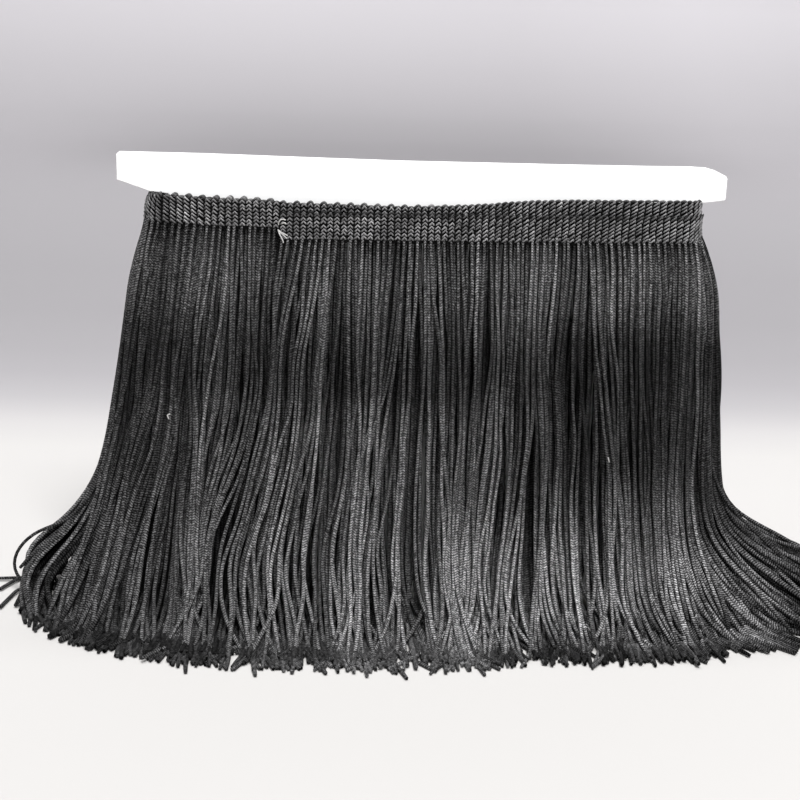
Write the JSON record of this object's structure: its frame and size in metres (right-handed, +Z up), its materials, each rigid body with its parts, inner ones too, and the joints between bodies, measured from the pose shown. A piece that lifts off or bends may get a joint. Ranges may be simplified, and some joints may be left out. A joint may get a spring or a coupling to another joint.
{
  "type": "spaghetti fringe trim on winding board",
  "caption": "Black chainette spaghetti fringe with a knitted heading wound twice round a flat white winding board, its strands hanging as a skirt that splays out level at the foot.",
  "frame": {"origin": "middle of the winding board's foot, on the surface that the part stands on", "axes": "+Z up, +X along the board to the right as seen from the front, -Y to the front, where the tape's outer end shows"},
  "size_m": [0.258, 0.1127, 0.139],
  "materials": {
    "black_chainette": "satin viscose chainette cord",
    "black_knit": "knitted satin viscose tape",
    "foam_board": "matt white foam board with a smooth face and cut edges"
  },
  "bodies": {
    "root": {"winding_board": "foam_board", "heading": "black_knit", "fringe_outer_front": "black_chainette", "fringe_outer_front_left": "black_chainette", "fringe_outer_left": "black_chainette", "fringe_outer_back": "black_chainette", "fringe_outer_right": "black_chainette", "fringe_inner_front": "black_chainette", "fringe_inner_front_left": "black_chainette", "fringe_inner_left": "black_chainette", "fringe_inner_back": "black_chainette", "fringe_inner_right": "black_chainette"}
  },
  "joints": []
}
